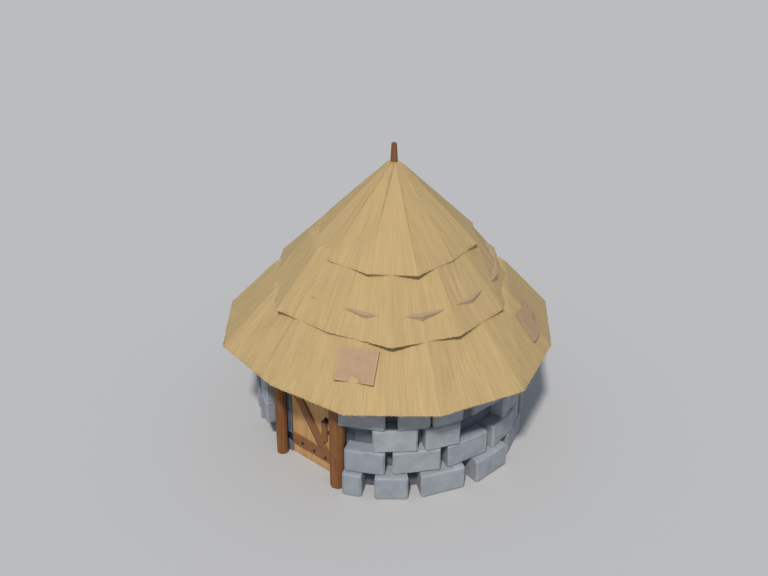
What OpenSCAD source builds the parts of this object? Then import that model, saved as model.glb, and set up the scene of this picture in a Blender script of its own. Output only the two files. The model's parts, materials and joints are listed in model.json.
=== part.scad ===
// Rondavel hut: round stone wall, plank door between log posts, stepped thatch roof on poles.
// Millimetres. Origin on the ground at the middle of the hut, +Z up, doorway facing -Y.

/* [Wall] */
// Inner radius of the round wall
room_r = 1980; // [1900:10:2000]
// Thickness of the hearting behind the face stones
core_t = 210; // [200:5:230]
// Height of each of the four lower courses
course_h = 450; // [440:5:460]
// Height of the top course, set back under the rafters
top_course_h = 300; // [285:5:310]
// How far the bottom stones on the right of the door stand out from the hearting
foot_proud = 350; // [300:10:380]
// How far the other face stones stand out
face_proud = 245; // [215:5:260]
// How far the face stones of the top course stand out
top_proud = 120; // [80:5:125]
// How far single stones stand in or out of the wall face
stone_uneven = 15; // [0:1:20]
// Bevel on the upright edges of a face stone
stone_bevel = 35; // [10:1:50]
// Bevel on the level edges of a face stone
bed_bevel = 28; // [8:1:40]

/* [Doorway] */
// Width of the doorway between its stone jambs
door_gap_w = 1000; // [900:5:1040]
// How far the flat stone face beside the door is cut back into the hearting
jamb_set = 110; // [90:5:120]
// Height of the underside of the lintel
lintel_z = 1870; // [1850:5:1900]
// How far the lintel runs on past the middle of each post
lintel_end = 154; // [148:1:165]
// Depth of the lintel from front to back
lintel_d = 260; // [240:5:265]
// How far the lintel stands out from the hearting
lintel_out = 60; // [45:5:65]
// Radius of the left log post
post_left_r = 108; // [90:1:112]
// Radius of the right log post
post_right_r = 143; // [130:1:146]
// Distance from the doorway to the middle of the left post
post_left_side = 145; // [135:1:155]
// Distance from the doorway to the middle of the right post
post_right_side = 247; // [235:1:255]
// How far the middle of the left post lies in front of the hearting
post_left_out = 2; // [-10:1:10]
// How far the middle of the right post lies in front of the hearting
post_right_out = 4; // [-10:1:10]

/* [Door] */
// Clearance between the door and the lintel
door_head_gap = 20; // [15:1:60]
// Clearance under the door
door_foot_gap = 12; // [8:1:30]
// Clearance between the door and each jamb
door_side_gap = 10; // [8:1:20]
// Thickness of the boards
board_t = 45; // [35:1:55]
// How far the boards stand back from the stone face beside them
board_inset = 20; // [15:1:30]
// Height of a door rail
rail_h = 210; // [150:5:240]
// Thickness of the rails and of the brace
rail_t = 40; // [30:1:42]
// Height of the underside of the bottom rail
rail_low_z = 235; // [180:5:280]
// Height of the underside of the top rail
rail_high_z = 1440; // [1300:5:1500]
// Width of the diagonal brace
brace_w = 180; // [140:5:200]
// Width of the grip timber
grip_w = 130; // [90:5:140]
// Height of the grip timber
grip_h = 400; // [300:10:430]
// Distance of the middle of the grip timber from the jamb on its right
grip_x = 175; // [160:5:200]
// Height of the foot of the grip timber
grip_z = 655; // [650:5:680]

/* [Ironwork] */
// Height of a hinge strap
strap_h = 140; // [100:5:150]
// Thickness of a hinge strap
strap_t = 9; // [6:1:10]
// Length of the leaf on the wall
strap_wall_l = 108; // [90:1:110]
// Length of the strap on the door
strap_door_l = 200; // [120:5:300]
// Radius of the hinge pin
pin_r = 9; // [7:1:10]
// Radius of the hinge knuckles
knuckle_r = 17; // [15:1:18]
// Height of the latch case
latch_h = 95; // [70:5:110]
// Length of the latch case
latch_l = 130; // [100:5:140]
// How far the latch case stands out from the boards
latch_t = 60; // [40:5:70]
// Height of the staple under the latch
staple_h = 90; // [60:5:100]

/* [Roof frame] */
// Pitch of the rafters in degrees
pitch = 46; // [45:0.5:47]
// How far the thatch lining reaches out past the hearting at the height of the eave
eave_out = 450; // [435:5:465]
// Diameter of a rafter pole
rafter_d = 100; // [90:1:104]
// How deep the rafters are notched over the ring on the wall
rafter_notch = 45; // [35:1:55]
// How far inside the edge of the lining the rafter feet are cut
rafter_foot = 120; // [100:5:150]
// Side of a batten
batten_s = 45; // [35:1:50]
// How far inside the edge of the lining the lowest batten ring lies
batten_first = 200; // [190:5:240]
// Distance between two batten rings, measured level
batten_step = 450; // [420:5:460]
// Radius of the boss that the rafter tips meet
boss_r = 220; // [215:1:240]
// Height of the boss
boss_h = 200; // [150:5:220]
// Width of the ring of timber on the wall head
plate_w = 170; // [140:5:190]
// Height of the ring of timber on the wall head
plate_h = 180; // [165:5:195]

/* [Thatch] */
// Level thickness of the thatch at the eave
thatch_w = 360; // [330:5:390]
// Height of the lower tier that shows
lower_h = 920; // [900:5:940]
// Height of the middle tier that shows
middle_h = 895; // [875:5:915]
// Height of the top tier
top_h = 1345; // [1310:5:1370]
// Level thickness of the lower tier where it ends under the middle tier
lower_head_t = 395; // [385:5:405]
// Level thickness of the middle tier at its edge
middle_foot_t = 468; // [455:1:485]
// Level thickness of the middle tier where it ends under the top tier
middle_head_t = 594; // [580:1:605]
// Level thickness of the top tier at its edge
top_foot_t = 613; // [600:1:630]
// Radius of the flat at the thatch top
peak_r = 90; // [78:1:100]
// How far the peak and its pole lean out of the middle to the right
peak_x = 35; // [0:1:50]
// How far the peak and its pole lean out of the middle to the back
peak_y = 30; // [0:1:50]
// How far a tier runs on under the next one
tier_lap = 100; // [85:5:110]
// How far the apex pole stands out of the thatch
pole_out = 320; // [280:5:360]
// Radius of the apex pole in the thatch
pole_r = 64; // [50:1:66]
// Radius of the tip of the apex pole
pole_tip_r = 46; // [35:1:50]
// Height of the middle of the binding hoop above the edge of the middle tier
hoop_up = 295; // [280:5:310]
// Height of the binding hoop
hoop_h = 140; // [110:5:150]
// Thickness of the binding hoop
hoop_t = 120; // [100:5:140]
// Width of a repair patch
patch_w = 665; // [600:5:700]
// Length of a repair patch down the slope
patch_l = 555; // [500:5:600]
// How far a repair patch stands over the ridge that it covers
patch_proud = 14; // [8:1:30]
// Height of the middle of the front patch above the eave
patch_front_up = 610; // [590:5:630]
// Distance of the middle of the front patch to the right of its ridge
patch_front_shift = 60; // [0:5:70]
// Height of the middle of the side patch above the eave
patch_side_up = 465; // [450:5:480]
// Distance of the middle of the side patch to the right of its ridge
patch_side_shift = -60; // [-80:5:0]
// Turn of the side patch in the slope
patch_side_tilt = -9; // [-12:1:0]

/* [Hidden] */
fit = 0.3;            // gap between pieces that seat on curved or sloping faces
moving = 8;           // gap round what swings
sides = 12;           // corners of every roof tier
step = 360 / sides;
roof_turn = -3;       // the roof corners stand this far round from the doorway, in degrees
over = 20;            // how far a cutting solid runs past what it cuts

// Sizes of the wall that follow from the ones above
courses = 5;
core_r = room_r + core_t;
wall_h = 4 * course_h + top_course_h;
plate_z = wall_h;
jamb_y = core_r - jamb_set;
post_left_x = door_gap_w / 2 + post_left_side;
post_right_x = door_gap_w / 2 + post_right_side;
post_left_y = core_r + post_left_out;
post_right_y = core_r + post_right_out;
lintel_front = core_r + lintel_out;
foot_stones = 4;      // so many bottom stones stand out further than the rest
function course_z(c) = c * course_h;
function height_of(c) = c < courses - 1 ? course_h : top_course_h;
function proud_of(c, i) = c == courses - 1 ? top_proud
    : (c == 0 && i < foot_stones ? foot_proud : face_proud) + stone_shift(c, i);

// Joints between face stones, as directions round the wall from the doorway. Each course
// starts and ends with joints that were chosen one by one, and equal stones fill the rest.
seen_joints = [[20, 33, 51, 74.5, 97, 121.5], [21.5, 41, 63.7, 86.3, 106, 117],
               [14, 33, 54, 72, 93.5, 113], [18, 42, 58, 74, 95], [20, 36, 56, 78, 100]];
end_joints = [[320, 342], [325.5, 337.5], [325.5, 337.5], [318, 340], [319, 341]];
joint_gap = [5, 3, 3, 5, 3];
stones = 15;
stones_in_part = 3;
core_sides = 60;      // flat sides of the hearting
doorway_half = asin(door_gap_w / 3 / core_r);   // where the hearting ends, inside the doorway cut
// Stones that are missing from the face: course, then place in the course
missing = [[2, 0], [2, 3], [3, 8], [1, 11], [0, 14]];

function joint(c, i) = let (known = len(seen_joints[c]) - 1, rest = stones - 1 - known)
    i <= known ? seen_joints[c][i]
    : i >= stones - 1 ? end_joints[c][i - stones + 1]
    : seen_joints[c][known] + (i - known) * (end_joints[c][0] - seen_joints[c][known]) / rest;
function is_missing(c, i) = len([for (m = missing) if (m == [c, i]) 1]) > 0;
// A small rule that moves each stone in or out, so that no two neighbours are alike
function stone_shift(c, i) = round(stone_uneven * sin(137 * i + 71 * c));

// Points at a radius and a direction round the hut, measured from -Y towards +X
function at(r, a) = [r * sin(a), -r * cos(a)];

// Roof lining: the plane-sided cone under the thatch. Its height follows from the rafters on
// the wall, and a batten bends a little deeper round a pole than the pole's middle line.
lining_slope = tan(pitch);
batten_dip = rafter_d / 2 * (sqrt(1 + pow(tan(step / 2) * sin(pitch), 2)) - 1);
lining_r = core_r + eave_out;
under_lining = (batten_s + rafter_d + 2 * fit + batten_dip) / cos(pitch);
eave_z = round(plate_z + plate_h - rafter_notch + under_lining - eave_out * lining_slope);
function lining_z(r) = eave_z + (lining_r - r) * lining_slope;
function lining_at(z) = lining_r - (z - eave_z) / lining_slope;
rafter_drop = under_lining - rafter_d / 2 / cos(pitch);
rafter_foot_r = lining_r - rafter_foot;
boss_z = lining_z(boss_r) - rafter_drop - boss_h / 2;

// Thatch tiers: heights, and how far each corner stands in or out of the mean radius
middle_z = eave_z + lower_h;
top_z = middle_z + middle_h;
peak_z = top_z + top_h;
lower_head_z = middle_z + tier_lap;
middle_head_z = top_z + tier_lap;
eave_corners = [for (d = [-168, -54, -21, 78, -87, 15, -168, 30, -30, 78, 75, 54])
                lining_r + thatch_w + d];
lower_heads = [for (d = [-33, -9, 63, -20, 10, 70, 0, 0, 0, 0, 60, 10])
               lining_at(lower_head_z) + lower_head_t + d];
middle_corners = [for (d = [-111, 96, 15, -39, -135, 10, -60, 60, -15, 85, -125, 12])
                  lining_at(middle_z) + middle_foot_t + d];
middle_heads = [for (d = [0, 62, 13, -49, 0, 10, 0, 4, 28, -90, 5, 5])
                lining_at(middle_head_z) + middle_head_t + d];
top_corners = [for (d = [-33, 51, 126, -57, 15, -3, 60, -30, 90, 0, -135, -100])
               lining_at(top_z) + top_foot_t + d];
peak_corners = [for (k = [1:sides]) peak_r];

// Binding hoop: the upper edge of each corner stands out of the middle of a flat side of the
// middle tier, or lies a little inside it
hoop_z = middle_z + hoop_up;
hoop_out = [30, 72, 95, 98, 120, 120, 70, 60, 70, 20, -10, -20];
function middle_side(k, share) = let (j = (k + sides - 1) % sides)
    ((middle_corners[j] + middle_corners[k]) * (1 - share) + (middle_heads[j] + middle_heads[k]) * share)
    / 2 * cos(step / 2);
hoop_corners = [for (k = [0:sides - 1])
                middle_side(k, (hoop_up + hoop_h / 2) / (middle_head_z - middle_z)) + hoop_out[k]];

// Door planes, measured from the middle of the hut towards the front
board_y = jamb_y - board_inset;
rail_y = board_y + rail_t;
door_w = door_gap_w - 2 * door_side_gap;
grip_mid_x = door_gap_w / 2 - grip_x;
door_top_z = lintel_z - door_head_gap;
hinge_x = -door_gap_w / 2 + door_side_gap / 2;
hinge_y = jamb_y + knuckle_r;
pin_play = 0.08;      // running fit of the pin in the knuckle
pin_wall = 3;         // wall of the knuckle beside the pin
rail_end = 20;        // the rails stop this far short of the hinge edge, for the straps

// Wall

// A point at a distance across and a distance out, for a piece that faces the direction a
function across_out(x, out, a) = at(out, a) + x * [cos(a), sin(a)];

// One face stone, centred on its direction, from inside the hearting out to its face. It is
// four rings of six corners, and the front of the lowest and of the highest ring is set back.
module stone(c, i) {
    from = joint(c, i) + joint_gap[c] / 2;
    to = joint(c, i + 1) - joint_gap[c] / 2;
    mid = (from + to) / 2;
    face = core_r + proud_of(c, i);
    half = face * tan((to - from) / 2);
    root = (room_r + core_r) / 2;
    h = height_of(c);
    b = stone_bevel;
    spread = half / face;
    levels = [[0, bed_bevel], [bed_bevel, 0], [h - bed_bevel, 0], [h, bed_bevel]];
    pts = [for (l = levels)
           let (f = face - l[1], s = f - b)
           for (p = [[-root, root], [root, root], [s, s], [f - b / spread, f], [b / spread - f, f], [-s, s]])
           let (q = across_out(spread * p[0], p[1], mid)) [q[0], q[1], course_z(c) + l[0]]];
    n = 6;
    walls = [for (l = [0:len(levels) - 2]) for (j = [0:n - 1])
             let (k = (j + 1) % n, low = l * n, up = low + n)
             for (f = [[low + j, low + k, up + k], [low + j, up + k, up + j]]) f];
    last = (len(levels) - 1) * n;
    polyhedron(pts, concat(walls, [[for (j = [n - 1:-1:0]) j]], [[for (j = [0:n - 1]) last + j]]));
}

// Plan of the hearting: a ring with flat sides
module core_plan() {
    difference() {
        polygon([for (k = [0:core_sides - 1]) at(core_r, k * 360 / core_sides)]);
        polygon([for (k = [0:core_sides - 1]) at(room_r, k * 360 / core_sides)]);
    }
}

// Hearting of one course between two directions
module core_arc(c, from, to) {
    far = 2 * core_r;
    translate([0, 0, course_z(c)])
        linear_extrude(height = height_of(c))
            intersection() {
                core_plan();
                polygon([[0, 0], at(far, from), at(far, (from + to) / 2), at(far, to)]);
            }
}

// What is cut out of the masonry: the doorway, the flat beside the door, the post seats
// and the pocket of the lintel
module doorway_cut() {
    translate([-door_gap_w / 2, -jamb_y - over, -over])
        cube([door_gap_w, jamb_y - room_r + 8 * over, wall_h + 2 * over]);
    translate([-post_left_x, -jamb_y - 20 * over, -over])
        cube([post_left_x + post_right_x, 20 * over, wall_h + 2 * over]);
    for (p = [[-post_left_x, -post_left_y, post_left_r], [post_right_x, -post_right_y, post_right_r]])
        translate([p[0], p[1], -over])
            cylinder(h = wall_h + 2 * over, r = p[2] + fit, $fn = 48);
    translate([0, 0, -fit]) lintel_block(fit, wall_h);
}

// One part of the wall: three stones wide, with toothed ends that follow the joints
module wall_part(p) {
    first = p * stones_in_part;
    last = first + stones_in_part;
    difference() {
        union()
            for (c = [0:courses - 1]) {
                core_arc(c, p == 0 ? doorway_half : joint(c, first),
                         last == stones ? 360 - doorway_half : joint(c, last));
                for (i = [first:last - 1])
                    if (!is_missing(c, i)) stone(c, i);
            }
        if (p == 0 || last == stones) doorway_cut();
    }
}

module wall_right_front() { color("#8f979c") wall_part(0); }
module wall_right() { color("#8a9298") wall_part(1); }
module wall_back() { color("#8f979c") wall_part(2); }
module wall_left() { color("#8a9298") wall_part(3); }
module wall_left_front() { color("#8f979c") wall_part(4); }

// Timber in the wall

module post_left() {
    color("#7d5030")
        translate([-post_left_x, -post_left_y, 0]) cylinder(h = lintel_z, r = post_left_r, $fn = 48);
}

module post_right() {
    color("#7d5030")
        translate([post_right_x, -post_right_y, 0])
            cylinder(h = lintel_z, r = post_right_r, $fn = 48);
}

module lintel_block(grow, h) {
    translate([-post_left_x - lintel_end - grow, -lintel_front - grow, lintel_z])
        cube([post_left_x + post_right_x + 2 * (lintel_end + grow), lintel_d + 2 * grow, h]);
}

module lintel() { color("#6f4629") lintel_block(0, wall_h - lintel_z); }

module wall_plate() {
    color("#7a5232")
        translate([0, 0, plate_z])
            difference() {
                cylinder(h = plate_h, r = core_r, $fn = 180);
                translate([0, 0, -over])
                    cylinder(h = plate_h + 2 * over, r = core_r - plate_w, $fn = 180);
            }
}

// Door

module door_boards() {
    color("#b9915c")
        translate([-door_w / 2, -board_y, door_foot_gap])
            cube([door_w, board_t, door_top_z - door_foot_gap]);
}

module rail(z) {
    color("#8c5c34")
        difference() {
            translate([-door_w / 2 + rail_end, -rail_y, z]) cube([door_w - rail_end, rail_t, rail_h]);
            strap_tail(z, fit);
        }
}

module door_rail_low() { rail(rail_low_z); }
module door_rail_high() { rail(rail_high_z); }

// The brace runs from the head of the bottom rail at the latch side to the foot of the top
// rail at the hinge side
module door_brace() {
    z0 = rail_low_z + rail_h;
    z1 = rail_high_z;
    x0 = door_w / 2 - brace_w;
    x1 = -door_w / 2 + brace_w / 2;
    lean = atan2(x0 - x1, z1 - z0);
    half = brace_w / 2 / cos(lean);
    color("#8c5c34")
        difference() {
            translate([0, -board_y, 0])
                rotate([90, 0, 0])
                    linear_extrude(height = rail_t)
                        polygon([[x0 - half, z0], [x0 + half, z0], [x1 + half, z1], [-door_w / 2, z1],
                                 [-door_w / 2, z1 - (half - (x1 + door_w / 2)) / tan(lean)]]);
            translate([grip_mid_x, -board_y, grip_z - fit])
                cylinder(h = grip_h + 2 * fit, r = grip_w / 2 + fit, $fn = 48);
        }
}

// Half-round grip timber on the boards
module door_grip() {
    color("#7d5030")
        intersection() {
            translate([grip_mid_x, -board_y, grip_z]) cylinder(h = grip_h, r = grip_w / 2, $fn = 48);
            translate([grip_mid_x - grip_w, -board_y - grip_w, grip_z - over])
                cube([2 * grip_w, grip_w, grip_h + 2 * over]);
        }
}

module door_latch() {
    color("#23262c")
        translate([grip_mid_x, -board_y - latch_t, grip_z + grip_h + fit])
            cube([latch_l, latch_t, latch_h]);
}

module door_staple() {
    color("#23262c")
        translate([grip_mid_x + grip_w / 2 + fit, -board_y - latch_t / 2, grip_z + grip_h / 2 - staple_h / 2])
            cube([latch_l / 2, latch_t / 2, staple_h]);
}

// Hinges. The leaf on the wall carries the lower knuckle and the pin. The strap on the door
// carries the upper knuckle, and its tail lies behind the rail.

function strap_z(rail_z) = rail_z + (rail_h - strap_h) / 2;

module strap_tail(rail_z, grow = 0) {
    translate([-door_w / 2, -board_y - strap_t - grow, strap_z(rail_z) - grow])
        cube([strap_door_l + grow, strap_t + grow, strap_h + 2 * grow]);
}

module strap(rail_z) {
    z = strap_z(rail_z) + strap_h / 2 + fit;
    h = strap_h / 2 - fit;
    color("#23262c")
        difference() {
            union() {
                strap_tail(rail_z);
                translate([hinge_x, -hinge_y, z]) cylinder(h = h, r = knuckle_r, $fn = 48);
                translate([hinge_x + pin_r + pin_wall, -hinge_y, z])
                    cube([strap_t, hinge_y - board_y, h]);
            }
            translate([hinge_x, -hinge_y, z - over])
                cylinder(h = h + 2 * over, r = pin_r + pin_play, $fn = 48);
        }
}

module strap_low() { strap(rail_low_z); }
module strap_high() { strap(rail_high_z); }

module hinge(rail_z) {
    z = strap_z(rail_z);
    half = strap_h / 2;
    color("#23262c")
        union() {
            translate([hinge_x, -hinge_y, z]) cylinder(h = half, r = knuckle_r, $fn = 48);
            translate([hinge_x, -hinge_y, z]) cylinder(h = strap_h, r = pin_r, $fn = 48);
            translate([hinge_x - strap_wall_l, -jamb_y - strap_t, z])
                cube([strap_wall_l, strap_t, half]);
            translate([hinge_x - strap_wall_l, -jamb_y - strap_t, z + half - fit])
                cube([strap_wall_l - knuckle_r - moving, strap_t, half + fit]);
        }
}

module hinge_low() { hinge(rail_low_z); }
module hinge_high() { hinge(rail_high_z); }

// Roof frame

module rafter_pole() {
    run = rafter_foot_r - boss_r;
    translate([0, -rafter_foot_r, lining_z(rafter_foot_r) - rafter_drop])
        rotate([pitch - 90, 0, 0])
            translate([0, 0, -rafter_d])
                cylinder(h = run / cos(pitch) + 2 * rafter_d, r = rafter_d / 2, $fn = 32);
}

// Rafter poles, cut plumb at foot and tip and notched over the ring on the wall
module rafters() {
    color("#8a6240")
        for (k = [0:sides - 1])
            rotate([0, 0, roof_turn + k * step])
                difference() {
                    rafter_pole();
                    translate([-rafter_d, -rafter_foot_r - 4 * rafter_d, 0])
                        cube([2 * rafter_d, 4 * rafter_d, peak_z]);
                    cylinder(h = peak_z, r = boss_r + fit, $fn = 96);
                    translate([0, 0, plate_z - fit])
                        difference() {
                            cylinder(h = plate_h + 2 * fit, r = core_r + fit, $fn = 180);
                            translate([0, 0, -over])
                                cylinder(h = plate_h + 3 * over, r = core_r - plate_w - fit, $fn = 180);
                        }
                }
}

module roof_boss() {
    color("#7a5232")
        translate([0, 0, boss_z]) cylinder(h = boss_h, r = boss_r, $fn = 96);
}

// A square batten bent round the rafters, with its corners on them
module batten_ring(r) {
    color("#9a7448")
        rotate([0, 0, roof_turn])
            translate([0, 0, lining_z(r) - fit / cos(pitch)])
                ring_of([for (k = [1:sides]) r], [[0, 0], [-batten_s * sin(pitch), -batten_s * cos(pitch)],
                            [-batten_s * sin(pitch) + batten_s * cos(pitch),
                             -batten_s * cos(pitch) - batten_s * sin(pitch)],
                            [batten_s * cos(pitch), -batten_s * sin(pitch)]]);
}

// A closed ring with a polygon section, one corner at each rafter
module ring_of(corners, section) {
    n = len(section);
    pts = [for (k = [0:sides - 1]) for (p = section)
           let (d = at(corners[k] + p[0], k * step)) [d[0], d[1], p[1]]];
    faces = [for (k = [0:sides - 1]) for (j = [0:n - 1])
             let (m = (k + 1) % sides, i = (j + 1) % n)
             for (f = [[k * n + j, k * n + i, m * n + i], [k * n + j, m * n + i, m * n + j]]) f];
    polyhedron(pts, faces);
}

module batten_ring_at(k) { batten_ring(lining_r - batten_first - k * batten_step); }

module batten_ring_1() { batten_ring_at(0); }
module batten_ring_2() { batten_ring_at(1); }
module batten_ring_3() { batten_ring_at(2); }
module batten_ring_4() { batten_ring_at(3); }
module batten_ring_5() { batten_ring_at(4); }

// Thatch

// A tier is a twelve-sided frustum between two rings of corners
module tier_solid(corners, z0, heads, z1, turn, grow = 0, lean = [0, 0]) {
    foot = [for (k = [0:sides - 1])
            let (p = at(corners[k] + grow, roof_turn + turn + k * step)) [p[0], p[1], z0]];
    head = [for (k = [0:sides - 1])
            let (p = lean + at(heads[k] + grow, roof_turn + turn + k * step)) [p[0], p[1], z1]];
    walls = [for (k = [0:sides - 1]) let (m = (k + 1) % sides)
             for (f = [[k, k + sides, m + sides], [k, m + sides, m]]) f];
    polyhedron(concat(foot, head),
               concat(walls, [[for (k = [0:sides - 1]) k]],
                      [[for (k = [sides - 1:-1:0]) k + sides]]));
}

module lining_solid() {
    base = [for (k = [0:sides - 1])
            let (p = at(lining_at(eave_z - 2 * over), roof_turn + k * step))
            [p[0], p[1], eave_z - 2 * over]];
    tip = [0, 0, lining_z(0)];
    polyhedron(concat(base, [tip]),
               concat([for (k = [0:sides - 1]) [k, sides, (k + 1) % sides]],
                      [[for (k = [0:sides - 1]) k]]));
}

module lower_solid(grow = 0) {
    tier_solid(eave_corners, eave_z, lower_heads, lower_head_z + grow, 0, grow);
}

module middle_solid(grow = 0) {
    tier_solid(middle_corners, middle_z, middle_heads, middle_head_z + grow, step / 2, grow);
}

module top_solid() {
    tier_solid(top_corners, top_z, peak_corners, peak_z, 0, 0, [peak_x, peak_y]);
}

module hoop_solid(grow = 0) {
    rotate([0, 0, roof_turn])
        translate([0, 0, hoop_z])
            ring_of(hoop_corners, [[grow, -hoop_h / 2 - grow], [grow, hoop_h / 2 + grow],
                                   [-hoop_t - grow, hoop_h / 2 + grow],
                                   [-hoop_t - grow, -hoop_h / 2 - grow]]);
}

module thatch_lower() {
    color("#c2a878")
        difference() {
            lower_solid();
            lining_solid();
        }
}

module thatch_middle() {
    color("#c2a878")
        difference() {
            middle_solid();
            lower_solid(fit);
            lining_solid();
            hoop_solid(fit);
        }
}

module thatch_top() {
    color("#c2a878")
        difference() {
            top_solid();
            middle_solid(fit);
            lining_solid();
            translate([peak_x, peak_y, boss_z]) cylinder(h = peak_z, r = pole_r + fit, $fn = 48);
        }
}

module binding_hoop() { color("#b09a7c") hoop_solid(); }

// A flat mat laid over a ridge of the lower tier, hollowed underneath to the thatch
module patch(k, up, shift, tilt) {
    lean = atan2(lower_head_z - eave_z, eave_corners[k] - lower_heads[k]);
    depth = patch_proud + patch_w * tan(step / 2);
    color("#b8a083")
        difference() {
            rotate([0, 0, roof_turn + k * step])
                translate([0, up / tan(lean) - eave_corners[k], eave_z + up])
                    rotate([lean, 0, 0])
                        translate([shift, 0, patch_proud - depth])
                            rotate([0, 0, tilt])
                                translate([-patch_w / 2, -patch_l / 2, 0]) cube([patch_w, patch_l, depth]);
            lower_solid(fit);
        }
}

module patch_front() { patch(1, patch_front_up, patch_front_shift, 0); }
module patch_side() { patch(4, patch_side_up, patch_side_shift, patch_side_tilt); }

module apex_pole() {
    color("#8c5a37")
        translate([peak_x, peak_y, boss_z + boss_h]) {
            cylinder(h = peak_z - boss_z - boss_h, r = pole_r, $fn = 48);
            translate([0, 0, peak_z - boss_z - boss_h])
                cylinder(h = pole_out, r1 = pole_r, r2 = pole_tip_r, $fn = 48);
        }
}

wall_right_front();
wall_right();
wall_back();
wall_left();
wall_left_front();
post_left();
post_right();
lintel();
wall_plate();
door_boards();
door_rail_low();
door_rail_high();
door_brace();
door_grip();
door_latch();
door_staple();
strap_low();
strap_high();
hinge_low();
hinge_high();
rafters();
roof_boss();
batten_ring_1();
batten_ring_2();
batten_ring_3();
batten_ring_4();
batten_ring_5();
thatch_lower();
thatch_middle();
thatch_top();
binding_hoop();
patch_front();
patch_side();
apex_pole();
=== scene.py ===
import bpy
import json
import math
import numpy as np
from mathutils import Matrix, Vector


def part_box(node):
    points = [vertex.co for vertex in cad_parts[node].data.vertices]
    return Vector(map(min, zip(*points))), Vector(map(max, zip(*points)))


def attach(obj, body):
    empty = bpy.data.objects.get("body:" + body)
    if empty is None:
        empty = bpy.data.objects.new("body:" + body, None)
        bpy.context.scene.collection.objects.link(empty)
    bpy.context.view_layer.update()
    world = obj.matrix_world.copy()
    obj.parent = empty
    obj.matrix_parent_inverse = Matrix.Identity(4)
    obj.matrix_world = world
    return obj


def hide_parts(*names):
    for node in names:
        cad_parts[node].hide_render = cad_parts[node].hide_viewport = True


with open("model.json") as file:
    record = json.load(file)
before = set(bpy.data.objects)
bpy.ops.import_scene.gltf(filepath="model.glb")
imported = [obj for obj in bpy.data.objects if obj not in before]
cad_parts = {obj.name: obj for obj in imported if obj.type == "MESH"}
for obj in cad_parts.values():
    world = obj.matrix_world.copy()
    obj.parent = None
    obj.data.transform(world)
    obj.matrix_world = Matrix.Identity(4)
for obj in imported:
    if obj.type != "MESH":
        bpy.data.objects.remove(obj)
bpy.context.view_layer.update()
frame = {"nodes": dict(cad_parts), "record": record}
chance = np.random.default_rng(41)

# Camera, light and floor

view = {"place": (11.018, -12.420, 11.979), "target": (-0.091, -0.082, 2.70), "lens": 50, "sensor": 36}
light = {"sunTurn": 32, "sunHeight": 53.5, "sunPower": 2.36, "sunSoftness": 5,
         "sky": (0.60, 0.70, 0.88), "skyPower": 0.46}
floorLook = {"size": 1600.0, "colour": (0.56, 0.54, 0.51), "roughness": 0.95}


def addObject(name, data):
    # a new object in the scene
    thing = bpy.data.objects.new(name, data)
    bpy.context.scene.collection.objects.link(thing)
    return thing


def makeStage():
    # camera where the photo was taken, one soft sun, an even sky and a pale floor
    cameraData = bpy.data.cameras.new("camera")
    cameraData.lens, cameraData.sensor_width = view["lens"], view["sensor"]
    camera = addObject("camera", cameraData)
    camera.location = view["place"]
    aim = Vector(view["target"]) - Vector(view["place"])
    camera.rotation_euler = aim.to_track_quat("-Z", "Y").to_euler()
    bpy.context.scene.camera = camera

    sunData = bpy.data.lights.new("sun", "SUN")
    sunData.energy, sunData.angle = light["sunPower"], math.radians(light["sunSoftness"])
    turn, height = math.radians(light["sunTurn"]), math.radians(light["sunHeight"])
    flat = math.cos(height)
    towards = Vector((math.sin(turn) * flat, -math.cos(turn) * flat, math.sin(height)))
    addObject("sun", sunData).rotation_euler = towards.to_track_quat("Z", "Y").to_euler()

    sky = bpy.data.worlds.new("sky")
    sky.use_nodes = True
    background = sky.node_tree.nodes["Background"].inputs
    background["Color"].default_value = (*light["sky"], 1)
    background["Strength"].default_value = light["skyPower"]
    bpy.context.scene.world = sky
    bpy.context.scene.view_settings.view_transform = "Standard"

    half = floorLook["size"] / 2
    floorMesh = bpy.data.meshes.new("floor")
    corners = [(-half, -half, 0), (half, -half, 0), (half, half, 0), (-half, half, 0)]
    floorMesh.from_pydata(corners, [], [(0, 1, 2, 3)])
    floor = addObject("floor", floorMesh)
    paint = bpy.data.materials.new("floorPaint")
    paint.use_nodes = True
    shader = paint.node_tree.nodes["Principled BSDF"].inputs
    shader["Base Color"].default_value = (*floorLook["colour"], 1)
    shader["Roughness"].default_value = floorLook["roughness"]
    floorMesh.materials.append(paint)


makeStage()
print("stage ready")

# Numbers and meshes


def joined(*parts):
    # arrays brought to one shape and joined as the coordinates of points
    return np.stack(np.broadcast_arrays(*parts), -1)


def unit(vectors):
    # vectors brought to length 1
    return vectors / np.linalg.norm(vectors, axis=-1, keepdims=True)


def circle(count):
    # equal steps of a full turn
    return np.linspace(0, 2 * math.pi, count, endpoint=False)


def angleFrom(angle, at):
    # the turn from a direction, between half a turn back and half a turn on
    return (angle - at + math.pi) % (2 * math.pi) - math.pi


def flatSided(angle, sides):
    # distance from the middle to the side of a polygon whose corners are at 1
    half = math.pi / sides
    return math.cos(half) / np.cos(angle % (2 * half) - half)


def polar(radius, degrees):
    # a point at a radius and a direction round the hut, from the doorway towards +X
    turn = np.radians(degrees)
    return joined(radius * np.sin(turn), -radius * np.cos(turn))


def raised(flat, z):
    # flat points lifted to their heights
    return joined(flat[..., 0], flat[..., 1], z)


def aroundHut(out, side, z, degrees):
    # points given as distance out, distance sideways and height, turned to a direction round the hut
    return raised(polar(out, degrees) + polar(side, degrees + 90), z)


def smoothStep(share):
    # from 0 to 1, level at both ends
    return share * share * (3 - 2 * share)


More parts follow.
